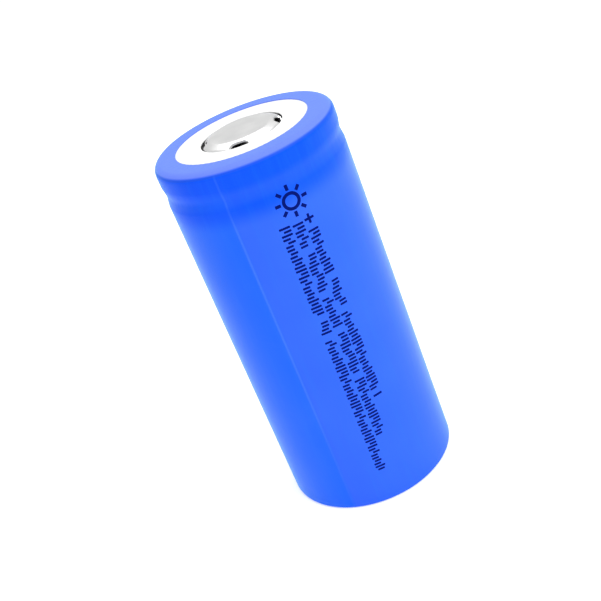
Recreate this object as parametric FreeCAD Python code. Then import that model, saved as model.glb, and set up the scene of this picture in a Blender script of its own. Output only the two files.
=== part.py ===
import FreeCAD, Part
import math
import os

# A cylindrical lithium iron phosphate cell in a shrunk sleeve, standing on its negative end.
# The origin is the centre of the face that it stands on, and +Z points to the positive terminal.
# Every size is in millimetres.

# Overall size
cell_diameter = 32.0            # over the sleeve
cell_height = 70.6              # to the top of the sleeve's upper lip
button_rise = 0.4               # the button's top above the sleeve's lip

# Sleeve
sleeve_wall = 0.15
sleeve_slack = 0.05             # between the sleeve and the can's wall
upper_lip_width = 4.18          # how far the sleeve folds in over the positive end
lower_lip_width = 3.5           # and over the negative end
shoulder_radius = 1.5           # the sleeve's rounded edge at the positive end
foot_radius = 0.5               # and at the negative end
waist_depth = 0.33              # how far the sleeve sinks into the bead's groove
waist_bend = 3.0

# Paper washer under the sleeve's upper lip
washer_thickness = 0.25
washer_slack = 0.15             # round the button
washer_edge_gap = 0.1           # inside the sleeve's rounded shoulder

# Steel can
can_wall = 0.35
bead_depth = 1.7                # how far the rolled bead goes in
bead_half_height = 0.75         # from the bead's middle to the middle of its flank
bead_root_bend = 0.7
bead_mouth_bend = 0.95
crimp_width = 3.2               # the rim that is folded in over the gasket
waist_margin = 0.15             # the sleeve bridges the groove from this far beyond its mouth

# Cap stack, clamped in the gasket
gasket_wall = 0.7
gasket_slack = 0.05             # between the gasket and the steel on each side
gasket_upper_reach = 0.4        # the gasket's upper lip past the crimped rim
gasket_floor_width = 2.9
cap_sheet = 0.5
disc_sheet = 0.4
ring_thickness = 0.6
ring_width = 3.1
plate_thickness = 0.7

# Button of the positive cap
button_radius = 7.15            # outside, at its foot
button_taper = 0.1              # its wall leans in by this much
plateau_radius = 5.4
slope_drop = 0.6                # from the flat top down to the wall
slope_bend = 1.0
wall_bend = 0.5
foot_bend = 0.4
vent_count = 4
vent_length = 3.6
vent_inner_radius = 5.9
vent_sill = 0.35                # the vent starts this far above the flange
vent_corner = 1.1

# Burst disc
pressed_radius = 2.4            # the flat middle that touches the plate below
pressed_slope = 2.1
pressed_bend = 0.6
score_radius = 8.0
score_depth = 0.2
score_half_width = 0.25

# Perforated plate
plate_hole_count = 6
plate_hole_radius = 1.2
plate_hole_circle = 7.0

# Winding: four strips in one spiral of half circles
core_radius = 2.2
separator_thickness = 0.1
anode_thickness = 0.35
cathode_thickness = 0.45
tape_thickness = 0.1
winding_slack = 0.25            # least gap between the tape and the can
electrode_margin = 1.0          # the separators stand out past the electrodes at each end

# Insulating discs at the ends of the winding
upper_insulator_thickness = 0.4
upper_insulator_slack = 0.05    # below the bead
lower_insulator_thickness = 0.3
insulator_edge_gap = 0.3        # round the lower disc
slot_slack = 0.2                # round each tab

# Tabs
tab_width = 3.5
positive_tab_thickness = 0.15
negative_tab_thickness = 0.1
positive_tab_foot = 5.0         # the part that lies flat under the plate
negative_tab_foot = 10.0        # the part that lies flat on the can's floor
tab_bend = 0.5
tab_tape_thickness = 0.1
tab_tape_height = 1.4

# Radii that follow
sleeve_radius = cell_diameter / 2
can_radius = sleeve_radius - sleeve_wall - sleeve_slack
can_inner_radius = can_radius - can_wall
can_middle_radius = can_radius - can_wall / 2
gasket_radius = can_inner_radius - gasket_slack
stack_radius = gasket_radius - gasket_wall - gasket_slack
crimp_radius = can_radius - crimp_width
winding_limit = can_inner_radius - winding_slack - tape_thickness

# Heights that follow, from the positive end down
button_top = cell_height + button_rise
washer_top = cell_height - sleeve_wall
washer_bottom = washer_top - washer_thickness
crimp_bottom = washer_bottom - can_wall
cap_top = crimp_bottom - gasket_wall
cap_bottom = cap_top - cap_sheet
disc_bottom = cap_bottom - disc_sheet
plate_top = disc_bottom - ring_thickness
plate_bottom = plate_top - plate_thickness
gasket_bottom = plate_bottom - gasket_wall
bead_height = gasket_bottom - can_wall / 2 - bead_half_height
bead_bottom = bead_height - bead_half_height - can_wall / 2
upper_insulator_top = bead_bottom - upper_insulator_slack
winding_top = upper_insulator_top - upper_insulator_thickness

# Heights that follow, from the negative end up
can_bottom = sleeve_wall
floor_top = can_bottom + can_wall
lower_insulator_bottom = floor_top + negative_tab_thickness
winding_bottom = lower_insulator_bottom + lower_insulator_thickness

# Bends that follow, each at the middle of its sheet
can_shoulder_bend = shoulder_radius - sleeve_wall - sleeve_slack - can_wall / 2
can_foot_bend = max(foot_radius - sleeve_wall - sleeve_slack, 0) + can_wall / 2
gasket_upper_bend = can_shoulder_bend - can_wall / 2 + gasket_slack - gasket_wall / 2
gasket_lower_bend = bead_mouth_bend - can_wall / 2 + gasket_slack - gasket_wall / 2
stack_upper_round = gasket_upper_bend - gasket_wall / 2 + gasket_slack
stack_lower_round = gasket_lower_bend - gasket_wall / 2 + gasket_slack

# The spiral that follows
pitch = 2 * separator_thickness + anode_thickness + cathode_thickness
centre_shift = pitch / 4
half_turns = int((winding_limit - core_radius - pitch - centre_shift) / (pitch / 2)) + 1
anode_inside = separator_thickness
outer_separator_inside = anode_inside + anode_thickness
cathode_inside = outer_separator_inside + separator_thickness
electrode_bottom = winding_bottom + electrode_margin
electrode_top = winding_top - electrode_margin

axis = FreeCAD.Vector(0, 0, 1)
centre = FreeCAD.Vector(0, 0, 0)


# A point of a section, which lies in the XZ plane
def point(across, height):
    return FreeCAD.Vector(across, 0, height)


def direction(start, end):
    length = math.hypot(end[0] - start[0], end[1] - start[1])
    return (end[0] - start[0]) / length, (end[1] - start[1]) / length


# A bent sheet is given by the corners of its middle line, each (across, height, bend radius).
# This gives the corners of the line that runs at a distance to its left, with the bends found there.
def line_beside(corners, distance):
    beside = []
    for place, (across, height, bend) in enumerate(corners):
        into = max(place, 1)
        out = min(place + 1, len(corners) - 1)
        before = direction(corners[into - 1], corners[into])
        after = direction(corners[out - 1], corners[out])
        turn = before[0] * after[1] - before[1] * after[0]
        share = distance / (1 + before[0] * after[0] + before[1] * after[1])
        side_bend = bend - distance if turn > 0 else bend + distance
        beside.append((across - (before[1] + after[1]) * share,
                       height + (before[0] + after[0]) * share,
                       side_bend))
    return beside


# The edges of a line with its corners rounded
def rounded_edges(corners):
    edges = []
    here = point(*corners[0][:2])
    for before, corner, after in zip(corners, corners[1:], corners[2:]):
        middle = point(*corner[:2])
        back = (point(*before[:2]) - middle).normalize()
        ahead = (point(*after[:2]) - middle).normalize()
        half_angle = back.getAngle(ahead) / 2
        if corner[2] > 0:
            reach = corner[2] / math.tan(half_angle)
            arc_start = middle + back * reach
            arc_end = middle + ahead * reach
            inward = (back + ahead).normalize()
            arc_middle = middle + inward * (corner[2] / math.sin(half_angle) - corner[2])
            edges.append(Part.makeLine(here, arc_start))
            edges.append(Part.Arc(arc_start, arc_middle, arc_end).toShape())
            here = arc_end
        else:
            edges.append(Part.makeLine(here, middle))
            here = middle
    edges.append(Part.makeLine(here, point(*corners[-1][:2])))
    return edges


# The section of a bent sheet, cut square at both ends
def sheet_section(corners, thickness):
    left = line_beside(corners, thickness / 2)
    right = line_beside(corners, -thickness / 2)
    edges = rounded_edges(left)
    edges.append(Part.makeLine(point(*left[-1][:2]), point(*right[-1][:2])))
    edges += rounded_edges(right[::-1])
    edges.append(Part.makeLine(point(*right[0][:2]), point(*left[0][:2])))
    return Part.Face(Part.Wire(edges))


def turned(section):
    return section.revolve(centre, axis, 360)


def turned_sheet(corners, thickness):
    return turned(sheet_section(corners, thickness))


def flat_ring(outer_radius, inner_radius, bottom, thickness):
    low = FreeCAD.Vector(0, 0, bottom)
    ring = Part.makeCylinder(outer_radius, thickness, low, axis)
    return ring.cut(Part.makeCylinder(inner_radius, thickness, low, axis))


def around(shape, count):
    return [shape.rotated(centre, axis, 360 * number / count) for number in range(count)]


# Edges of a turned piece that are circles of one radius at one height
def circles_at(shape, radius, height):
    found = []
    for edge in shape.Edges:
        box = edge.BoundBox
        if abs(box.ZMin - height) < 0.001 and abs(box.ZMax - height) < 0.001:
            if abs(box.XMax - radius) < 0.001:
                found.append(edge)
    return found


# The sleeve covers the wall, sinks a little into the bead's groove and folds in over both ends.
def outer_sleeve():
    middle = sleeve_radius - sleeve_wall / 2
    waist_half_height = bead_half_height + bead_mouth_bend + waist_margin
    foot = sleeve_wall / 2
    top = cell_height - sleeve_wall / 2
    return turned_sheet([
        (sleeve_radius - lower_lip_width, foot, 0),
        (middle, foot, foot_radius - sleeve_wall / 2),
        (middle, bead_height - waist_half_height, waist_bend),
        (middle - waist_depth, bead_height, waist_bend),
        (middle, bead_height + waist_half_height, waist_bend),
        (middle, top, shoulder_radius - sleeve_wall / 2),
        (sleeve_radius - upper_lip_width, top, 0),
    ], sleeve_wall)


def top_washer():
    outer_radius = sleeve_radius - shoulder_radius - washer_edge_gap
    return flat_ring(outer_radius, button_radius + washer_slack, washer_bottom, washer_thickness)


# One drawn cup: the floor, the wall, the rolled bead that holds the cap stack, and the crimped rim.
def steel_can():
    bead_bottom_flank = bead_height - bead_half_height
    bead_top_flank = bead_height + bead_half_height
    floor = can_bottom + can_wall / 2
    rim = washer_bottom - can_wall / 2
    return turned_sheet([
        (0, floor, 0),
        (can_middle_radius, floor, can_foot_bend),
        (can_middle_radius, bead_bottom_flank, bead_mouth_bend),
        (can_middle_radius - bead_depth, bead_bottom_flank, bead_root_bend),
        (can_middle_radius - bead_depth, bead_top_flank, bead_root_bend),
        (can_middle_radius, bead_top_flank, bead_mouth_bend),
        (can_middle_radius, rim, can_shoulder_bend),
        (crimp_radius, rim, 0),
    ], can_wall)


# A channel of soft plastic that wraps the cap stack's edge and stands on the bead.
def sealing_gasket():
    middle = gasket_radius - gasket_wall / 2
    low = gasket_bottom + gasket_wall / 2
    high = crimp_bottom - gasket_wall / 2
    return turned_sheet([
        (gasket_radius - gasket_floor_width, low, 0),
        (middle, low, gasket_lower_bend),
        (middle, high, gasket_upper_bend),
        (crimp_radius - gasket_upper_reach, high, 0),
    ], gasket_wall)


# One vent window, open through the button's slope and wall, on the +X side.
def vent_window():
    bottom = cap_top + vent_sill
    depth = button_radius - vent_inner_radius + 1
    height = button_top + 1 - bottom
    window = Part.makeBox(depth, vent_length, height,
                          FreeCAD.Vector(vent_inner_radius, -vent_length / 2, bottom))
    upright = [edge for edge in window.Edges
               if edge.BoundBox.ZLength > height / 2 and edge.BoundBox.XMax < vent_inner_radius + 0.1]
    return window.makeFillet(vent_corner, upright)


# The pressed cap: a flange clamped in the gasket, and the hollow button with its vents.
def positive_cap():
    top = button_top - cap_sheet / 2
    flange = cap_bottom + cap_sheet / 2
    wall_radius = button_radius - cap_sheet / 2
    cap = turned_sheet([
        (0, top, 0),
        (plateau_radius, top, slope_bend),
        (wall_radius - button_taper, top - slope_drop, wall_bend),
        (wall_radius, flange, foot_bend),
        (stack_radius, flange, 0),
    ], cap_sheet)
    cap = cap.makeFillet(stack_upper_round, circles_at(cap, stack_radius, cap_top))
    return cap.cut(around(vent_window(), vent_count))


# A scored disc whose middle is pressed down onto the plate, and snaps up if the pressure rises.
def burst_disc():
    rim = disc_bottom + disc_sheet / 2
    middle = plate_top + disc_sheet / 2
    disc = turned_sheet([
        (0, middle, 0),
        (pressed_radius, middle, pressed_bend),
        (pressed_radius + pressed_slope, rim, pressed_bend),
        (stack_radius, rim, 0),
    ], disc_sheet)
    corners = [
        point(score_radius - score_half_width, cap_bottom),
        point(score_radius, cap_bottom - score_depth),
        point(score_radius + score_half_width, cap_bottom),
    ]
    return disc.cut(turned(Part.Face(Part.makePolygon(corners + corners[:1]))))


def disc_insulator():
    return flat_ring(stack_radius, stack_radius - ring_width, plate_top, ring_thickness)


# The plate that the positive tabs are welded to. Gas reaches the disc through its holes.
def perforated_plate():
    low = FreeCAD.Vector(0, 0, plate_bottom)
    plate = Part.makeCylinder(stack_radius, plate_thickness, low, axis)
    plate = plate.makeFillet(stack_lower_round, circles_at(plate, stack_radius, plate_bottom))
    hole_place = FreeCAD.Vector(plate_hole_circle, 0, plate_bottom)
    hole = Part.makeCylinder(plate_hole_radius, plate_thickness, hole_place, axis)
    return plate.cut(around(hole, plate_hole_count))


# One half turn of a line in the spiral. Even ones pass +Y and odd ones -Y, each kind about its own
# centre, so that every layer lies against the next one.
def half_turn(number, layer):
    radius = core_radius + layer + number * pitch / 2
    side = 1 if number % 2 == 0 else -1
    middle = -side * centre_shift
    start = FreeCAD.Vector(middle + side * radius, 0, 0)
    crown = FreeCAD.Vector(middle, side * radius, 0)
    end = FreeCAD.Vector(middle - side * radius, 0, 0)
    return Part.Arc(start, crown, end).toShape(), start, end


def wound_strip(inside, thickness, first, last, bottom, top):
    inner = [half_turn(number, inside) for number in range(first, last + 1)]
    outer = [half_turn(number, inside + thickness) for number in range(first, last + 1)]
    edges = [arc for arc, start, end in outer]
    edges.append(Part.makeLine(outer[-1][2], inner[-1][2]))
    edges += [arc for arc, start, end in reversed(inner)]
    edges.append(Part.makeLine(inner[0][1], outer[0][1]))
    section = Part.Face(Part.Wire(edges))
    section.translate(FreeCAD.Vector(0, 0, bottom))
    return section.extrude(FreeCAD.Vector(0, 0, top - bottom))


def inner_separator():
    return wound_strip(0, separator_thickness, 0, half_turns - 1, winding_bottom, winding_top)


def anode_strip():
    return wound_strip(anode_inside, anode_thickness, 1, half_turns - 2, electrode_bottom, electrode_top)


def outer_separator():
    return wound_strip(outer_separator_inside, separator_thickness, 0, half_turns - 1,
                       winding_bottom, winding_top)


def cathode_strip():
    return wound_strip(cathode_inside, cathode_thickness, 1, half_turns - 3, electrode_bottom, electrode_top)


# Tape that holds the winding's last turn down
def closing_tape():
    return wound_strip(0, tape_thickness, half_turns, half_turns + 1, winding_bottom, winding_top)


# Moves a piece made on the +X side, facing out, to the crown of a half turn.
def at_crown(shape, number):
    side = 1 if number % 2 == 0 else -1
    moved = shape.rotated(centre, axis, side * 90)
    moved.translate(FreeCAD.Vector(-side * centre_shift, 0, 0))
    return moved


# The tabs leave the winding about halfway out on the cathode and further out on the anode, in pairs
# on opposite sides.
positive_turns = (half_turns // 4 * 2, half_turns // 4 * 2 + 1)
negative_turns = (half_turns * 3 // 8 * 2, half_turns * 3 // 8 * 2 + 1)


# A flat tab lies between two curved layers, so it sits further in by half of the curve's rise.
def tab_radius(layer_middle, number):
    radius = core_radius + layer_middle + number * pitch / 2
    return radius - tab_width ** 2 / (16 * radius)


def positive_tab_radius(number):
    return tab_radius(cathode_inside + cathode_thickness / 2, number)


def negative_tab_radius(number):
    return tab_radius(anode_inside + anode_thickness / 2, number)


def strip_on_edge(corners, thickness, number):
    section = sheet_section(corners, thickness)
    section.translate(FreeCAD.Vector(0, -tab_width / 2, 0))
    return at_crown(section.extrude(FreeCAD.Vector(0, tab_width, 0)), number)


# Stands on the cathode's edge, rises through the insulator and turns in under the plate.
def positive_tab(number):
    radius = positive_tab_radius(number)
    under_plate = plate_bottom - positive_tab_thickness / 2
    return strip_on_edge([
        (radius, electrode_top, 0),
        (radius, under_plate, tab_bend),
        (radius - positive_tab_foot, under_plate, 0),
    ], positive_tab_thickness, number)


# Hangs from the anode's edge, passes the insulator and turns in on the can's floor.
def negative_tab(number):
    radius = negative_tab_radius(number)
    on_floor = floor_top + negative_tab_thickness / 2
    return strip_on_edge([
        (radius, electrode_bottom, 0),
        (radius, on_floor, tab_bend),
        (radius - negative_tab_foot, on_floor, 0),
    ], negative_tab_thickness, number)


# An upright box round a tab, wider and thicker than it by a slack on every side
def box_round_tab(radius, thickness, slack, bottom, height, number):
    deep = thickness + 2 * slack
    wide = tab_width + 2 * slack
    corner = FreeCAD.Vector(radius - deep / 2, -wide / 2, bottom)
    return at_crown(Part.makeBox(deep, wide, height, corner), number)


def tab_tape(number):
    size = (upper_insulator_top, tab_tape_height, number)
    radius = positive_tab_radius(number)
    outside = box_round_tab(radius, positive_tab_thickness, tab_tape_thickness, *size)
    return outside.cut(box_round_tab(radius, positive_tab_thickness, 0, *size))


# As wide as the flat underside of the bead
def upper_insulator():
    flat_radius = can_inner_radius - (bead_mouth_bend - can_wall / 2)
    disc = flat_ring(flat_radius, core_radius, winding_top, upper_insulator_thickness)
    return disc.cut([box_round_tab(positive_tab_radius(number), positive_tab_thickness, slot_slack,
                                   winding_top, upper_insulator_thickness, number)
                     for number in positive_turns])


# The slots leave room for the tab's bend on their inner side.
def lower_insulator():
    disc = flat_ring(can_inner_radius - insulator_edge_gap, core_radius,
                     lower_insulator_bottom, lower_insulator_thickness)
    return disc.cut([box_round_tab(negative_tab_radius(number) - tab_bend / 2,
                                   negative_tab_thickness + tab_bend, slot_slack,
                                   lower_insulator_bottom, lower_insulator_thickness, number)
                     for number in negative_turns])


pieces = {
    "outer_sleeve": outer_sleeve(),
    "top_washer": top_washer(),
    "steel_can": steel_can(),
    "sealing_gasket": sealing_gasket(),
    "positive_cap": positive_cap(),
    "burst_disc": burst_disc(),
    "disc_insulator": disc_insulator(),
    "perforated_plate": perforated_plate(),
    "upper_insulator": upper_insulator(),
    "lower_insulator": lower_insulator(),
    "inner_separator": inner_separator(),
    "anode_strip": anode_strip(),
    "outer_separator": outer_separator(),
    "cathode_strip": cathode_strip(),
    "closing_tape": closing_tape(),
}
for place, number in enumerate(positive_turns, 1):
    pieces[f"positive_tab_{place}"] = positive_tab(number)
    pieces[f"tab_tape_{place}"] = tab_tape(number)
for place, number in enumerate(negative_turns, 1):
    pieces[f"negative_tab_{place}"] = negative_tab(number)

os.makedirs("parts", exist_ok=True)
for name, shape in pieces.items():
    print(name, shape.isValid(), len(shape.Solids), round(shape.Volume, 2))
    shape.exportStep(f"parts/{name}.step")
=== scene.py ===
import math

import bpy
from mathutils import Matrix, Quaternion, Vector, noise


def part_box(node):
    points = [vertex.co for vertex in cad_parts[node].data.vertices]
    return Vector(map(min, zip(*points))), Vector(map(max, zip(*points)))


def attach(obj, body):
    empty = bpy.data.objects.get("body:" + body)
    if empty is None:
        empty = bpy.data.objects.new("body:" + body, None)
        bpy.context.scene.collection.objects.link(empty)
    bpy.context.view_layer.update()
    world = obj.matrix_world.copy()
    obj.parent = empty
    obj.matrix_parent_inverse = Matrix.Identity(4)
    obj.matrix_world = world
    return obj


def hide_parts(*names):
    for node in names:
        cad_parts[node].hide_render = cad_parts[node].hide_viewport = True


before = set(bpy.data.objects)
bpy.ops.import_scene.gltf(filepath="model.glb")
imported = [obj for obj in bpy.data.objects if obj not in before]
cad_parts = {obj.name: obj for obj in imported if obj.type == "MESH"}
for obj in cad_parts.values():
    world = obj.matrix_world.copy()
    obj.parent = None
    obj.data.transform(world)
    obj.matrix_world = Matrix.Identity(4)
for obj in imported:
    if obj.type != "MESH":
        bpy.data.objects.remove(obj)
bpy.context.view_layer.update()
mm = 0.001
sleeveLow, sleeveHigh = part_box("outer_sleeve")
washerLow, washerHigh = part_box("top_washer")
capLow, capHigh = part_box("positive_cap")
canLow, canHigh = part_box("steel_can")
cellRadius = sleeveHigh.x
cellTop = sleeveHigh.z
print("frame loaded")


def deselectAll():
    if bpy.context.mode != "OBJECT":
        bpy.ops.object.mode_set(mode="OBJECT")
    bpy.ops.object.select_all(action="DESELECT")


def makeActive(piece):
    deselectAll()
    piece.select_set(True)
    bpy.context.view_layer.objects.active = piece


def addModifier(piece, kind, **settings):
    modifier = piece.modifiers.new(kind, kind)
    for name, value in settings.items():
        setattr(modifier, name, value)
    makeActive(piece)
    bpy.ops.object.modifier_apply(modifier=modifier.name)


# a line through corners (across, height, bend), with each bend drawn as an arc
# and each straight run cut into steps no longer than longest
def roundedLine(corners, longest, bendSteps=8):
    line = [Vector(corners[0][:2])]

    def runTo(end):
        start = line[-1]
        count = max(1, math.ceil((end - start).length / longest))
        line.extend(start.lerp(end, step / count) for step in range(1, count + 1))

    for before, corner, after in zip(corners, corners[1:], corners[2:]):
        middle = Vector(corner[:2])
        back = (Vector(before[:2]) - middle).normalized()
        ahead = (Vector(after[:2]) - middle).normalized()
        halfAngle = back.angle(ahead) / 2
        inward = (back + ahead).normalized()
        centre = middle + inward * corner[2] / math.sin(halfAngle)
        arcStart = middle + back * corner[2] / math.tan(halfAngle)
        spoke = arcStart - centre
        sweep = math.pi - 2 * halfAngle
        if back.x * ahead.y - back.y * ahead.x > 0:
            sweep = -sweep
        if (arcStart - line[-1]).length > 1e-9:
            runTo(arcStart)
        for step in range(1, bendSteps + 1):
            turned = Matrix.Rotation(sweep * step / bendSteps, 2) @ spoke
            line.append(centre + turned)
    runTo(Vector(corners[-1][:2]))
    return line


# draws the line by extruding one point, then spins it round the cell's axis
def spinLine(name, line, turns):
    deselectAll()
    bpy.ops.mesh.primitive_plane_add(size=mm)
    piece = bpy.context.object
    piece.name = name
    piece.data.name = name
    bpy.ops.object.mode_set(mode="EDIT")
    bpy.ops.mesh.merge(type="CENTER")
    bpy.ops.transform.translate(value=(line[0].x, 0, line[0].y))
    for start, end in zip(line, line[1:]):
        move = (end.x - start.x, 0, end.y - start.y)
        bpy.ops.mesh.extrude_region_move(TRANSFORM_OT_translate={"value": move})
    bpy.ops.mesh.select_all(action="SELECT")
    bpy.ops.mesh.spin(steps=turns, angle=2 * math.pi, center=(0, 0, 0), axis=(0, 0, 1))
    bpy.ops.mesh.select_all(action="SELECT")
    bpy.ops.mesh.remove_doubles(threshold=0.002 * mm)
    bpy.ops.mesh.normals_make_consistent(inside=False)
    bpy.ops.object.mode_set(mode="OBJECT")
    return piece


def thicken(piece, wall):
    addModifier(piece, "SOLIDIFY", thickness=wall, offset=0, use_even_offset=True)


def smooth(piece, angle):
    makeActive(piece)
    bpy.ops.object.shade_smooth_by_angle(angle=math.radians(angle))


def place(piece, slotName, *nodes):
    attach(piece, "root")
    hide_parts(*nodes)


print("tools ready")


# a socket's output, so that shader maths reads as plain sums
class Wire:
    def __init__(self, finish, out):
        self.finish = finish
        self.out = out

    def calc(self, operation, first, second):
        return self.finish.node("Math", {"operation": operation}, {0: first, 1: second})

    def __add__(self, other):
        return self.calc("ADD", self, other)

    def __radd__(self, other):
        return self.calc("ADD", other, self)

    def __sub__(self, other):
        return self.calc("SUBTRACT", self, other)

    def __rsub__(self, other):
        return self.calc("SUBTRACT", other, self)

    def __mul__(self, other):
        return self.calc("MULTIPLY", self, other)

    def __rmul__(self, other):
        return self.calc("MULTIPLY", other, self)

    def __pow__(self, other):
        return self.calc("POWER", self, other)

    def __abs__(self):
        return self.calc("ABSOLUTE", self, 0.0)


# a material with one shader; constants are the shader's own fixed values
class Finish:
    def __init__(self, name, **constants):
        self.material = bpy.data.materials.new(name)
        self.material.use_nodes = True
        self.tree = self.material.node_tree
        self.tree.nodes.clear()
        self.shader = self.tree.nodes.new("ShaderNodeBsdfPrincipled")
        output = self.tree.nodes.new("ShaderNodeOutputMaterial")
        self.tree.links.new(self.shader.outputs[0], output.inputs[0])
        for socket, value in constants.items():
            self.shader.inputs[socket.replace("_", " ")].default_value = value

    def node(self, kind, settings, sockets, output=0):
        made = self.tree.nodes.new("ShaderNode" + kind)
        for setting, value in settings.items():
            setattr(made, setting, value)
        for socket, value in sockets.items():
            if isinstance(value, Wire):
                self.tree.links.new(value.out, made.inputs[socket])
            else:
                made.inputs[socket].default_value = value
        return Wire(self, made.outputs[output])

    def feed(self, **wires):
        for socket, wire in wires.items():
            self.tree.links.new(wire.out, self.shader.inputs[socket.replace("_", " ")])

    # where a point is on the cell, in millimetres
    def spot(self):
        here = self.node("TexCoord", {}, {}, output="Object")
        return self.node("VectorMath", {"operation": "SCALE"}, {0: here, "Scale": 1 / mm})

    # how far the point is from the cell's axis
    def across(self, spot):
        x, y, z = self.parts(spot)
        return (x * x + y * y) ** 0.5

    def parts(self, vector):
        split = self.node("SeparateXYZ", {}, {0: vector})
        outs = split.out.node.outputs
        return [Wire(self, outs[axis]) for axis in range(3)]

    def grain(self, spot, scale, detail=3.0, rough=0.5, stretch=(1, 1, 1)):
        pulled = self.node("VectorMath", {"operation": "MULTIPLY"}, {0: spot, 1: stretch})
        return self.node("TexNoise", {}, {"Vector": pulled, "Scale": scale, "Detail": detail,
                                          "Roughness": rough}, output="Fac")

    # 0 below low, 1 above high, and smooth between
    def step(self, value, low, high):
        return self.node("MapRange", {"interpolation_type": "SMOOTHSTEP"},
                         {"Value": value, "From Min": low, "From Max": high})

    def between(self, share, first, second):
        return self.node("Mix", {"data_type": "RGBA"},
                         {"Factor": share, 6: rgb(first), 7: rgb(second)}, output=2)

    def bump(self, height, strength, distance):
        return self.node("Bump", {}, {"Height": height, "Strength": strength, "Distance": distance})


def rgb(colour):
    return colour if isinstance(colour, Wire) else (*colour, 1)


def wear(piece, finish):
    piece.data.materials.clear()
    piece.data.materials.append(finish.material)


print("material tools ready")


sleeve = {
    "wall": 0.15 * mm,
    "upperLip": 4.18 * mm,            # how far it turns in over the washer
    "lowerLip": 3.5 * mm,
    "shoulder": 1.5 * mm,             # outside radius of the turned edge at the positive end
    "foot": 0.5 * mm,                 # and at the negative end
    "waistBelowTop": 5.275 * mm,
    "waistDepth": 0.33 * mm,
    "waistHalfHeight": 1.85 * mm,
    "waistBend": 3.0 * mm,
    "turns": 360,
    "longestStep": 1.1 * mm,
    "foldAngle": math.radians(-104),  # the film was a flat tube, so it has two folds
    "foldDrift": math.radians(3.7),   # the folds lean over towards the top
    "foldDriftHeight": 12 * mm,
    "foldCrowding": 0.6,              # draws the mesh lines together at the folds
    "foldHeight": 0.035 * mm,
    "foldWidth": 0.15 * mm,
    "ditchDepth": 0.6,                # beside a fold, as a share of its height
    "ditchWidth": 0.9 * mm,
    "waviness": 0.02 * mm,
    "waveLength": 22 * mm,            # along the cell
    "puckerHeight": 0.02 * mm,
    "puckers": 70,
}


def sleeveCorners(s):
    middle = cellRadius - s["wall"] / 2
    low = sleeveLow.z + s["wall"] / 2
    high = cellTop - s["wall"] / 2
    waist = cellTop - s["waistBelowTop"]
    return [
        (cellRadius - s["lowerLip"], low, 0),
        (middle, low, s["foot"] - s["wall"] / 2),
        (middle, waist - s["waistHalfHeight"], s["waistBend"]),
        (middle - s["waistDepth"], waist, s["waistBend"]),
        (middle, waist + s["waistHalfHeight"], s["waistBend"]),
        (middle, high, s["shoulder"] - s["wall"] / 2),
        (cellRadius - s["upperLip"], high, 0),
    ]


def bell(distance, width):
    return math.exp(-(distance / width) ** 2)


def foldAngleAt(s, height):
    rise = (height - (cellTop - s["foldDriftHeight"])) / s["foldDriftHeight"]
    rise = min(max(rise, 0), 1)
    return s["foldAngle"] + s["foldDrift"] * rise * rise * (3 - 2 * rise)


# the film's own unevenness: folds, slow waves, and puckers where it shrank in
def uneven(piece, s):
    waist = cellTop - s["waistBelowTop"]
    for vertex in piece.data.vertices:
        x, y, z = vertex.co
        angle = math.atan2(y, x)
        fold = foldAngleAt(s, z)
        angle -= s["foldCrowding"] / 2 * math.sin(2 * (angle - fold))
        radius = math.hypot(x, y)
        offFold = math.sin(angle - fold) * cellRadius
        ridge = bell(offFold, s["foldWidth"]) - s["ditchDepth"] * bell(offFold, s["ditchWidth"])
        around = Vector((math.cos(angle), math.sin(angle), z / s["waveLength"]))
        wave = noise.noise(around * 2.3)
        ripple = math.sin(s["puckers"] * angle + 4 * noise.noise(around * 5))
        # side is 1 on the wall and falls to 0 where the lips begin
        side = min(max((radius - (cellRadius - s["shoulder"])) / s["shoulder"], 0), 1)
        out = side * (s["foldHeight"] * ridge + s["waviness"] * (wave - 0.3))
        out += side * 0.5 * s["puckerHeight"] * ripple * bell(z - waist, s["waistHalfHeight"] / 2)
        up = 0
        if side == 0:
            reach = (cellRadius - s["shoulder"] - radius) / s["upperLip"]
            up = s["puckerHeight"] * reach * ripple * (1 if z > waist else 0)
            out = 3 * s["puckerHeight"] * reach * wave
        vertex.co = ((radius + out) * math.cos(angle), (radius + out) * math.sin(angle), z + up)


def makeSleeve(s):
    piece = spinLine("sleeve_film", roundedLine(sleeveCorners(s), s["longestStep"]), s["turns"])
    uneven(piece, s)
    thicken(piece, s["wall"])
    smooth(piece, 50)
    place(piece, "blue_sleeve", "outer_sleeve")
    return piece


film = {
    "blue": (0.020, 0.109, 0.83),         # right of the fold
    "otherBlue": (0.003, 0.110, 0.83),    # left of it
    "deepBlue": (0.001, 0.075, 0.82),     # darker over the head
    "lipBlue": (0.125, 0.20, 0.78),       # thin over the white washer
    "rimBlue": (0.02, 0.08, 0.55),
    "lipDrop": 0.62,                      # the lip's colour ends here, millimetres below the top
    "headStart": 7.3,                     # the head's deep blue fades out between these two
    "headEnd": 10.8,
    "paintedHighlightLow": (7.2, 5.8),               # the painted highlight at the waist fades in here, from below
    "paintedHighlightHigh": (3.4, 4.8),              # and here, from above
    # how much the painted highlight pales the head's deep blue
    "paintedHighlightShare": 0.38,
    "foldBlue": (0.07, 0.21, 0.92),
    "foldPale": 0.53,
    "foldFade": (-6, 38),                 # the fold's line is faint at the foot, full at 38 mm
    "streakBlue": (0.012, 0.16, 0.88),
    "roughness": 0.27,
}


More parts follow.
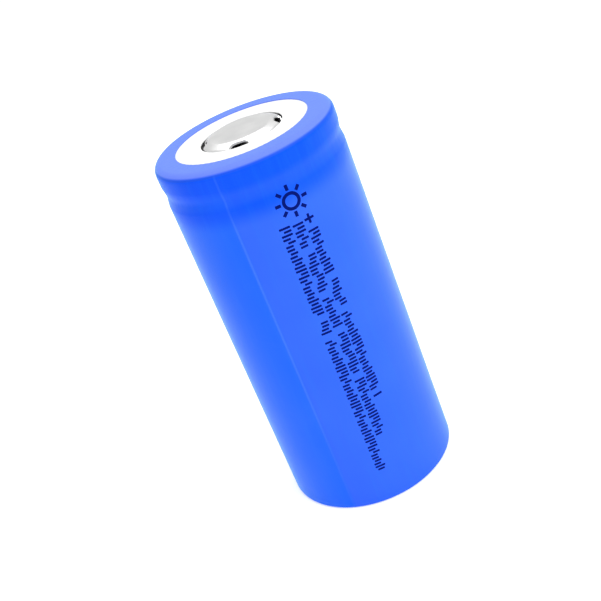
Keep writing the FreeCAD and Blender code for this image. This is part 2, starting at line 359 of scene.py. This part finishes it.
def filmFinish(f, s):
    finish = Finish("blueFilm", Specular_IOR_Level=0.05, Coat_Roughness=0.28, Sheen_Weight=0.28,
                    Sheen_Roughness=0.3, Sheen_Tint=(0.0, 0.9, 1.0, 1))
    spot = finish.spot()
    x, y, z = finish.parts(spot)
    top = cellTop / mm
    cloud = finish.grain(spot, 0.09, 2.0)
    speck = finish.grain(spot, 1.6, 4.0, 0.6)
    streak = finish.grain(spot, 0.8, 4.0, 0.6, (1, 1, 0.06))    # drawn along the cell
    head = finish.step(z, top - f["headEnd"], top - f["headStart"])
    lowStart, lowEnd = f["paintedHighlightLow"]
    highStart, highEnd = f["paintedHighlightHigh"]
    # a painted highlight across the waist groove, lightening the head's deep blue there
    waist = finish.step(z, top - lowStart, top - lowEnd) * finish.step(z, top - highStart, top - highEnd)
    head = head * (1 - f["paintedHighlightShare"] * waist)
    lip = finish.step(z, top - f["lipDrop"] - 0.2, top - f["lipDrop"] + 0.2)
    rim = finish.step(z, top - f["lipDrop"] - 0.45, top - f["lipDrop"] - 0.3) * (1 - lip)
    fold = s["foldAngle"]
    pastFold = y * math.cos(fold) - x * math.sin(fold)
    offFold = abs(pastFold)
    colour = finish.between(finish.step(pastFold, -0.6, 0.6), f["otherBlue"], f["blue"])
    colour = finish.between(head, colour, f["deepBlue"])
    colour = finish.between(finish.step(cloud, 0.35, 0.75) * 0.07, colour, f["foldBlue"])
    colour = finish.between(finish.step(streak, 0.4, 0.8) * 0.16, colour, f["streakBlue"])
    crease = (1 - finish.step(offFold, 0.06, 0.3)) * (1 - lip) * (0.35 + 0.5 * speck) * (1 - 0.55 * head)
    fadeStart, fadeEnd = f["foldFade"]
    crease = crease * finish.step(z, fadeStart, fadeEnd)
    colour = finish.between(crease * f["foldPale"], colour, f["foldBlue"])
    colour = finish.between(lip * (0.86 + 0.28 * speck), colour, f["lipBlue"])
    colour = finish.between(rim * 0.45, colour, f["rimBlue"])
    roughness = f["roughness"] + 0.06 * cloud + 0.05 * speck + 0.08 * streak
    height = finish.grain(spot, 0.7, 3.0, 0.5) + 0.25 * finish.grain(spot, 4.0, 2.0) + 0.8 * streak
    finish.feed(Base_Color=colour, Roughness=roughness, Coat_Weight=0.18 - 0.16 * head,
                Normal=finish.bump(height, 0.06, 0.0003))
    return finish


sleevePiece = makeSleeve(sleeve)
wear(sleevePiece, filmFinish(film, sleeve))
print("sleeve made", len(sleevePiece.data.polygons))


marks = {
    "proud": 0.02 * mm,
    "sunk": 0.04 * mm,
    "dot": 0.22 * mm,
    "dotSides": 8,
    "dotPitch": 0.3 * mm,
    "barPitch": 0.66 * mm,
    "groupGap": 1.2 * mm,
    "bars": [(0, 6), (2, 6), (0, 4), (1, 5)],     # each kind's first dot, and the place past its last
    "rows": [
        {"angle": -62.0, "top": 55.6 * mm, "groups": (13, 8, 25)},
        {"angle": -69.5, "top": 57.6 * mm, "groups": (7, 11, 9, 13, 19)},
        {"angle": -77.5, "top": 57.9 * mm, "groups": (26, 4, 44)},
    ],
    "signAngle": -62.0,
    "plusAt": 57.7 * mm,
    "minusAt": 22.0 * mm,
    "sign": 1.7 * mm,
    "stroke": 0.42 * mm,
    "sunAngle": -68.0,
    "sunAt": 61.7 * mm,
    "sunRing": 1.3 * mm,
    "ringTurns": 48,
    "rays": 8,
    "rayFrom": 1.85 * mm,
    "rayTo": 2.8 * mm,
    "sunStroke": 0.55 * mm,
}


# a flat mark lies in the XY plane: x runs down the cell, y round it;
# lowered, it stands proud of the plane by one value and is sunk by the other
def lower(piece, m):
    bpy.ops.object.mode_set(mode="EDIT")
    bpy.ops.transform.translate(value=(0, 0, (m["proud"] - m["sunk"]) / 2))
    bpy.ops.object.mode_set(mode="OBJECT")
    return piece


def makeDot(m):
    deselectAll()
    bpy.ops.mesh.primitive_cylinder_add(vertices=m["dotSides"], radius=m["dot"],
                                        depth=m["proud"] + m["sunk"])
    piece = lower(bpy.context.object, m)
    bpy.ops.object.mode_set(mode="EDIT")
    bpy.ops.mesh.select_all(action="DESELECT")
    bpy.ops.object.mode_set(mode="OBJECT")
    # the face inside the film is left out
    for face in piece.data.polygons:
        face.select = face.normal.z < -0.9
    bpy.ops.object.mode_set(mode="EDIT")
    bpy.ops.mesh.delete(type="FACE")
    bpy.ops.object.mode_set(mode="OBJECT")
    return piece


def makeBar(m, dot, first, last):
    piece = dot.copy()
    piece.data = dot.data.copy()
    bpy.context.scene.collection.objects.link(piece)
    addModifier(piece, "ARRAY", count=last - first, use_relative_offset=False,
                use_constant_offset=True, constant_offset_displace=(0, m["dotPitch"], 0))
    piece.data.transform(Matrix.Translation((0, (first - 2.5) * m["dotPitch"], 0)))
    return piece


def makeStroke(m, length, width):
    deselectAll()
    bpy.ops.mesh.primitive_cube_add(size=1)
    piece = bpy.context.object
    bpy.ops.object.mode_set(mode="EDIT")
    bpy.ops.transform.resize(value=(length, width, m["proud"] + m["sunk"]))
    bpy.ops.mesh.subdivide(number_cuts=4)
    bpy.ops.object.mode_set(mode="OBJECT")
    return lower(piece, m)


def joined(pieces):
    deselectAll()
    for piece in pieces:
        piece.select_set(True)
    bpy.context.view_layer.objects.active = pieces[0]
    bpy.ops.object.join()
    return bpy.context.object


def makeRow(m, row, dot):
    kinds = [makeBar(m, dot, first, last) for first, last in m["bars"]]
    pieces = []
    along = 0
    for number, count in enumerate(row["groups"]):
        for bar in range(count):
            # a fixed jumble of the kinds, so that the bars spell nothing
            kind = kinds[(bar * bar + 3 * bar * number + 5 * number + bar // 3) % len(kinds)]
            copy = kind.copy()
            copy.data = kind.data.copy()
            copy.data.transform(Matrix.Translation((along, 0, 0)))
            bpy.context.scene.collection.objects.link(copy)
            pieces.append(copy)
            along += m["barPitch"]
        along += m["groupGap"]
    for kind in kinds:
        bpy.data.objects.remove(kind)
    return joined(pieces)


def makeSun(m):
    ring = spinLine("sun", [Vector((m["sunRing"] - m["sunStroke"] / 2, 0)),
                            Vector((m["sunRing"] + m["sunStroke"] / 2, 0))], m["ringTurns"])
    thicken(ring, m["proud"] + m["sunk"])
    makeActive(ring)
    pieces = [lower(ring, m)]
    for number in range(m["rays"]):
        ray = makeStroke(m, m["rayTo"] - m["rayFrom"], m["sunStroke"])
        bpy.ops.object.mode_set(mode="EDIT")
        bpy.ops.mesh.select_all(action="SELECT")
        bpy.ops.transform.translate(value=((m["rayFrom"] + m["rayTo"]) / 2, 0, 0))
        bpy.ops.transform.rotate(value=2 * math.pi * number / m["rays"], orient_axis="Z",
                                 center_override=(0, 0, 0))
        bpy.ops.object.mode_set(mode="OBJECT")
        pieces.append(ray)
    return joined(pieces)


# lays a flat mark on the film
def wrap(piece, angle, top):
    for vertex in piece.data.vertices:
        x, y, z = vertex.co
        turn = math.radians(angle) + y / cellRadius
        outward = Vector((math.cos(turn), math.sin(turn), 0))
        start = outward * cellRadius * 1.2 + Vector((0, 0, top - x))
        landing = sleevePiece.ray_cast(start, -outward)[1]
        vertex.co = landing + outward * z
    return piece


def makeMarks(m):
    dot = makeDot(m)
    pieces = [wrap(makeRow(m, row, dot), row["angle"], row["top"]) for row in m["rows"]]
    bpy.data.objects.remove(dot)
    pieces.append(wrap(makeSun(m), m["sunAngle"], m["sunAt"]))
    pieces.append(wrap(makeStroke(m, m["sign"], m["stroke"]), m["signAngle"], m["plusAt"]))
    pieces.append(wrap(makeStroke(m, m["stroke"], m["sign"]), m["signAngle"], m["plusAt"]))
    pieces.append(wrap(makeStroke(m, m["stroke"], m["sign"]), m["signAngle"], m["minusAt"]))
    piece = joined(pieces)
    piece.name = "printed_marks"
    place(piece, "blue_sleeve")
    return piece


ink = {"dark": (0.0003, 0.004, 0.09), "light": (0.0008, 0.009, 0.17), "roughness": 0.35}


def inkFinish(i):
    finish = Finish("jetInk", Specular_IOR_Level=0.02)
    patchy = finish.grain(finish.spot(), 1.2, 3.0)
    colour = finish.between(patchy, i["dark"], i["light"])
    finish.feed(Base_Color=colour, Roughness=i["roughness"] + 0.2 * patchy)
    return finish


marksPiece = makeMarks(marks)
wear(marksPiece, inkFinish(ink))
print("marks made", len(marksPiece.data.polygons))


button = {
    "sheet": 0.5 * mm,
    "radius": 7.15 * mm,
    "taper": 0.1 * mm,
    "plateau": 5.4 * mm,
    "slopeDrop": 0.6 * mm,
    "slopeBend": 1.0 * mm,
    "wallBend": 0.5 * mm,
    "footBend": 0.4 * mm,
    "turns": 192,
    "vents": 4,
    "ventLength": 3.6 * mm,
    "ventInner": 5.9 * mm,
    "ventSill": 0.35 * mm,            # above the flange
    "ventCorner": 1.1 * mm,
    "edge": 0.05 * mm,                # worn edges of the vents
}


def capCorners(b):
    top = capHigh.z - b["sheet"] / 2
    flange = capLow.z + b["sheet"] / 2
    wall = b["radius"] - b["sheet"] / 2
    return [
        (0, top, 0),
        (b["plateau"], top, b["slopeBend"]),
        (wall - b["taper"], top - b["slopeDrop"], b["wallBend"]),
        (wall, flange, b["footBend"]),
        (capHigh.x, flange, 0),
    ]


def ventCutter(b, angle):
    deselectAll()
    depth = b["radius"] - b["ventInner"] + mm
    bottom = capLow.z + b["sheet"] + b["ventSill"]
    height = capHigh.z + mm - bottom
    bpy.ops.mesh.primitive_cube_add(size=1)
    cutter = bpy.context.object
    bpy.ops.object.mode_set(mode="EDIT")
    bpy.ops.transform.resize(value=(depth, b["ventLength"], height))
    bpy.ops.transform.translate(value=(b["ventInner"] + depth / 2, 0, bottom + height / 2))
    bpy.ops.object.mode_set(mode="OBJECT")
    for edge in cutter.data.edges:
        ends = [cutter.data.vertices[index].co for index in edge.vertices]
        upright = abs(ends[0].z - ends[1].z) > height / 2
        edge.select = upright and ends[0].x < b["ventInner"] + depth / 2
    bpy.ops.object.mode_set(mode="EDIT")
    bpy.context.tool_settings.mesh_select_mode = (False, True, False)
    bpy.ops.mesh.bevel(offset=b["ventCorner"], segments=8, affect="EDGES")
    bpy.ops.mesh.select_all(action="SELECT")
    bpy.ops.transform.rotate(value=-angle, orient_axis="Z", center_override=(0, 0, 0))
    bpy.context.tool_settings.mesh_select_mode = (True, False, False)
    bpy.ops.object.mode_set(mode="OBJECT")
    return cutter


def makeCap(b):
    piece = spinLine("button_cap", roundedLine(capCorners(b), 1.2 * mm, 6), b["turns"])
    thicken(piece, b["sheet"])
    for number in range(b["vents"]):
        cutter = ventCutter(b, 2 * math.pi * number / b["vents"])
        addModifier(piece, "BOOLEAN", object=cutter, operation="DIFFERENCE", solver="EXACT")
        bpy.data.objects.remove(cutter)
    addModifier(piece, "BEVEL", width=b["edge"], segments=2, limit_method="ANGLE",
                angle_limit=math.radians(50))
    smooth(piece, 40)
    place(piece, "plated_cap", "positive_cap")
    return piece


plate = {
    "dark": (0.80, 0.805, 0.81),
    "light": (0.90, 0.90, 0.89),
    # painted shade: the hollow under the button, seen through the vents, is coloured near black as if in
    # shadow
    "paintedShadeColour": (0.01, 0.01, 0.012),
    "paintedShadeRadius": (6.95, 6.85),     # millimetres; the painted shade fades in from one to the other
    "paintedShadeDrop": (0.2, 0.35),        # the same, below the top
    # the painted shade's edge follows the button's sloping shoulder from this radius
    "slopeRadius": 5.3,
    "slope": 0.43,                    # how steeply the shoulder falls from there
    "roughness": 0.22,
}


def plateFinish(p):
    finish = Finish("brightPlate", Metallic=1.0)
    spot = finish.spot()
    radius = finish.across(spot)
    cloud = finish.grain(spot, 0.35, 3.0)
    fine = finish.grain(spot, 6.0, 4.0, 0.6)
    turned = finish.node("TexNoise", {"noise_dimensions": "1D"},
                         {"W": radius, "Scale": 14.0, "Detail": 3.0}, output="Fac")
    colour = finish.between(cloud, p["dark"], p["light"])
    x, y, z = finish.parts(spot)
    downSlope = finish.node("Math", {"operation": "MAXIMUM"}, {0: radius - p["slopeRadius"], 1: 0.0})
    level = z + p["slope"] * downSlope
    radiusStart, radiusEnd = p["paintedShadeRadius"]
    dropStart, dropEnd = p["paintedShadeDrop"]
    top = capHigh.z / mm
    # painted shade: near black inside the button and below its top, where it lies in shadow
    inside = finish.step(radius, radiusStart, radiusEnd)
    inside = inside * finish.step(level, top - dropStart, top - dropEnd)
    colour = finish.between(inside, colour, p["paintedShadeColour"])
    roughness = p["roughness"] + 0.16 * cloud + 0.08 * fine
    height = turned * 0.4 + fine * 0.3 + cloud
    finish.feed(Base_Color=colour, Roughness=roughness, Normal=finish.bump(height, 0.12, 0.00005))
    return finish


capPiece = makeCap(button)
wear(capPiece, plateFinish(plate))
print("cap made", len(capPiece.data.polygons))


washer = {
    "inner": 7.3 * mm,
    "edge": 0.06 * mm,
    "turns": 256,
    "dish": 0.05 * mm,                # the inner edge lies a little lower
    "rag": 0.03 * mm,                 # the punched inner edge is a little ragged
    "ragLength": 0.9 * mm,
}


def makeWasher(w):
    inner = w["inner"]
    middle = (washerLow.z + washerHigh.z) / 2
    line = roundedLine([(inner, middle, 0), (washerHigh.x, middle, 0)], 0.6 * mm)
    piece = spinLine("paper_washer", line, w["turns"])
    for vertex in piece.data.vertices:
        x, y, z = vertex.co
        radius = math.hypot(x, y)
        share = 1 - (radius - inner) / (washerHigh.x - inner)
        rag = noise.noise(Vector((x, y, 0)) / w["ragLength"]) * w["rag"] * (share > 0.97)
        vertex.co = (x * (1 + rag / radius), y * (1 + rag / radius), z - w["dish"] * share ** 3)
    thicken(piece, washerHigh.z - washerLow.z)
    addModifier(piece, "BEVEL", width=w["edge"], segments=2, limit_method="ANGLE",
                angle_limit=math.radians(50))
    smooth(piece, 40)
    place(piece, "white_washer", "top_washer")
    return piece


def paperFinish():
    finish = Finish("whitePaper", Specular_IOR_Level=0.3)
    spot = finish.spot()
    fibre = finish.grain(spot, 2.5, 5.0, 0.65)
    cloud = finish.grain(spot, 0.4, 2.0)
    colour = finish.between(fibre, (0.73, 0.735, 0.74), (0.81, 0.81, 0.805))
    finish.feed(Base_Color=colour, Roughness=0.5 + 0.2 * cloud,
                Normal=finish.bump(fibre, 0.15, 0.00004))
    return finish


washerPiece = makeWasher(washer)
wear(washerPiece, paperFinish())
print("washer made", len(washerPiece.data.polygons))


can = {
    "wall": 0.35 * mm,
    "foot": 0.65 * mm,
    "beadAt": 65.325 * mm,
    "beadHalf": 0.75 * mm,
    "beadDepth": 1.7 * mm,
    "beadBend": 0.95 * mm,
    "beadRoot": 0.7 * mm,
    "crimpBend": 1.3 * mm,
    "crimpInner": 12.6 * mm,
    "dish": 0.03 * mm,                # the base is very slightly hollow
    "dishFlat": 6 * mm,
    "dishEdge": 11 * mm,
    "dishBend": 2 * mm,
    "turns": 180,
}


def canCorners(c):
    middle = canHigh.x - c["wall"] / 2
    low = canLow.z + c["wall"] / 2
    high = canHigh.z - c["wall"] / 2
    bead = middle - c["beadDepth"]
    return [
        (0, low + c["dish"], 0),
        (c["dishFlat"], low + c["dish"], c["dishBend"]),
        (c["dishEdge"], low, c["dishBend"]),
        (middle, low, c["foot"] - c["wall"] / 2),
        (middle, c["beadAt"] - c["beadHalf"], c["beadBend"]),
        (bead, c["beadAt"] - c["beadHalf"], c["beadRoot"]),
        (bead, c["beadAt"] + c["beadHalf"], c["beadRoot"]),
        (middle, c["beadAt"] + c["beadHalf"], c["beadBend"]),
        (middle, high, c["crimpBend"] - c["wall"] / 2),
        (c["crimpInner"], high, 0),
    ]


def makeCan(c):
    piece = spinLine("drawn_can", roundedLine(canCorners(c), 2.5 * mm, 6), c["turns"])
    thicken(piece, c["wall"])
    smooth(piece, 40)
    place(piece, "plated_can", "steel_can")
    return piece


def canFinish():
    finish = Finish("drawnPlate", Metallic=1.0)
    spot = finish.spot()
    radius = finish.across(spot)
    x, y, z = finish.parts(spot)
    cloud = finish.grain(spot, 0.25, 4.0, 0.6)
    fine = finish.grain(spot, 5.0, 4.0, 0.6)
    drawn = finish.grain(spot, 1.0, 4.0, 0.6, (2.0, 2.0, 0.04))
    rings = finish.node("TexNoise", {"noise_dimensions": "1D"},
                        {"W": radius, "Scale": 5.0, "Detail": 5.0}, output="Fac")
    base = finish.step(z, 1.2, 0.6)
    toolMarks = base * rings + (1 - base) * drawn
    colour = finish.between(cloud, (0.50, 0.49, 0.47), (0.68, 0.67, 0.65))
    stain = finish.step(cloud, 0.55, 0.7) * base * 0.35
    colour = finish.between(stain, colour, (0.36, 0.33, 0.29))
    finish.feed(Base_Color=colour, Roughness=0.24 + 0.14 * toolMarks + 0.12 * fine,
                Normal=finish.bump(toolMarks + 0.3 * fine, 0.25, 0.00004))
    return finish


canPiece = makeCan(can)
wear(canPiece, canFinish())
print("can made", len(canPiece.data.polygons))


insides = [
    {"name": "gasketPlastic", "nodes": ["sealing_gasket"], "metal": 0, "rough": 0.42,
     "dark": (0.42, 0.43, 0.42), "light": (0.56, 0.57, 0.55), "scale": 0.6, "stretch": (1, 1, 1)},
    # painted shade: the burst disc and perforated plate lie in shadow under the cap, so their aluminium
    # is coloured much darker than bare metal
    {"name": "shadeDarkenedAluminium", "nodes": ["burst_disc", "perforated_plate"], "metal": 1, "rough": 0.34,
     "dark": (0.30, 0.30, 0.31), "light": (0.44, 0.44, 0.45), "scale": 1.4, "stretch": (1, 1, 6)},
    {"name": "ringPlastic", "nodes": ["disc_insulator"], "metal": 0, "rough": 0.5,
     "dark": (0.74, 0.74, 0.71), "light": (0.84, 0.84, 0.82), "scale": 0.8, "stretch": (1, 1, 1)},
    {"name": "barkPaper", "nodes": ["upper_insulator", "lower_insulator"], "metal": 0, "rough": 0.8,
     "dark": (0.10, 0.16, 0.13), "light": (0.17, 0.25, 0.20), "scale": 3.0, "stretch": (1, 2.5, 1)},
    {"name": "separatorFilm", "nodes": ["inner_separator", "outer_separator"], "metal": 0, "rough": 0.45,
     "dark": (0.80, 0.81, 0.82), "light": (0.92, 0.92, 0.93), "scale": 1.5, "stretch": (1, 1, 0.2)},
    {"name": "graphiteCoat", "nodes": ["anode_strip"], "metal": 0, "rough": 0.72,
     "dark": (0.012, 0.012, 0.014), "light": (0.035, 0.035, 0.04), "scale": 4.0, "stretch": (1, 1, 0.4)},
    {"name": "phosphateCoat", "nodes": ["cathode_strip"], "metal": 0, "rough": 0.78,
     "dark": (0.025, 0.027, 0.028), "light": (0.06, 0.063, 0.064), "scale": 4.0, "stretch": (1, 1, 0.4)},
    {"name": "greenTape", "nodes": ["closing_tape"], "metal": 0, "rough": 0.3,
     "dark": (0.01, 0.18, 0.07), "light": (0.03, 0.27, 0.12), "scale": 0.5, "stretch": (1, 1, 3)},
    {"name": "aluminiumTab", "nodes": ["positive_tab_1", "positive_tab_2"], "metal": 1, "rough": 0.3,
     "dark": (0.66, 0.67, 0.68), "light": (0.82, 0.83, 0.84), "scale": 2.0, "stretch": (4, 4, 0.3)},
    {"name": "amberTape", "nodes": ["tab_tape_1", "tab_tape_2"], "metal": 0, "rough": 0.28,
     "dark": (0.48, 0.17, 0.02), "light": (0.66, 0.27, 0.04), "scale": 0.7, "stretch": (1, 1, 1)},
    {"name": "nickelTab", "nodes": ["negative_tab_1", "negative_tab_2"], "metal": 1, "rough": 0.26,
     "dark": (0.52, 0.50, 0.46), "light": (0.68, 0.66, 0.61), "scale": 2.0, "stretch": (4, 4, 0.3)},
]


def insideFinish(v):
    finish = Finish(v["name"], Metallic=v["metal"])
    spot = finish.spot()
    cloud = finish.grain(spot, v["scale"] * 0.3, 2.0, 0.5, v["stretch"])
    fine = finish.grain(spot, v["scale"], 5.0, 0.6, v["stretch"])
    colour = finish.between(0.5 * cloud + 0.5 * fine, v["dark"], v["light"])
    finish.feed(Base_Color=colour, Roughness=v["rough"] - 0.08 + 0.16 * fine,
                Normal=finish.bump(fine, 0.2, 0.00003))
    return finish


for values in insides:
    finish = insideFinish(values)
    for node in values["nodes"]:
        wear(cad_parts[node], finish)
print("inside finishes made")


room = {
    "floorSize": 40.0,
    "floor": (0.93, 0.93, 0.93),
    "below": 0.02 * mm,
    "glow": 0.32,                     # the floor is a lit white sheet
    "surround": 0.72,
}


def makeRoom(r):
    deselectAll()
    bpy.ops.mesh.primitive_plane_add(size=r["floorSize"], location=(0, 0, -r["below"]))
    floor = bpy.context.object
    floor.name = "floor"
    wear(floor, Finish("paleFloor", Roughness=0.9, Specular_IOR_Level=0.1, Base_Color=rgb(r["floor"]),
                       Emission_Color=(1, 1, 1, 1), Emission_Strength=r["glow"]))
    world = bpy.data.worlds.new("surround")
    bpy.context.scene.world = world
    world.use_nodes = True
    world.node_tree.nodes["Background"].inputs["Color"].default_value = (1, 1, 1, 1)
    world.node_tree.nodes["Background"].inputs["Strength"].default_value = r["surround"]


lights = [
    {"name": "overhead", "from": (0.0, 0.1, 0.7), "size": 0.7, "watts": 3.0},    # metres
    {"name": "right", "from": (0.45, -0.3, 0.5), "size": 0.4, "watts": 2.2},
]


def makeLight(values):
    deselectAll()
    bpy.ops.object.light_add(type="AREA", location=values["from"])
    light = bpy.context.object
    light.name = values["name"]
    light.data.size = values["size"]
    light.data.energy = values["watts"]
    aim = Vector((0, 0, cellTop / 2)) - light.location
    light.rotation_euler = aim.to_track_quat("-Z", "Y").to_euler()


camera = {
    "place": (29.65 * mm, -160.77 * mm, 119.72 * mm),
    "aim": (-1.53 * mm, -0.38 * mm, 37.0 * mm),
    "roll": math.radians(22.39),
    "lens": 60.37,
}


def makeCamera(c):
    deselectAll()
    bpy.ops.object.camera_add(location=c["place"])
    seen = bpy.context.object
    seen.rotation_mode = "QUATERNION"
    look = (Vector(c["aim"]) - Vector(c["place"])).to_track_quat("-Z", "Y")
    seen.rotation_quaternion = look @ Quaternion((0, 0, 1), -c["roll"])
    seen.data.lens = c["lens"]
    seen.data.clip_start = 0.01
    bpy.context.scene.camera = seen


makeRoom(room)
for values in lights:
    makeLight(values)
makeCamera(camera)
bpy.context.scene.view_settings.view_transform = "Standard"
print("room made")
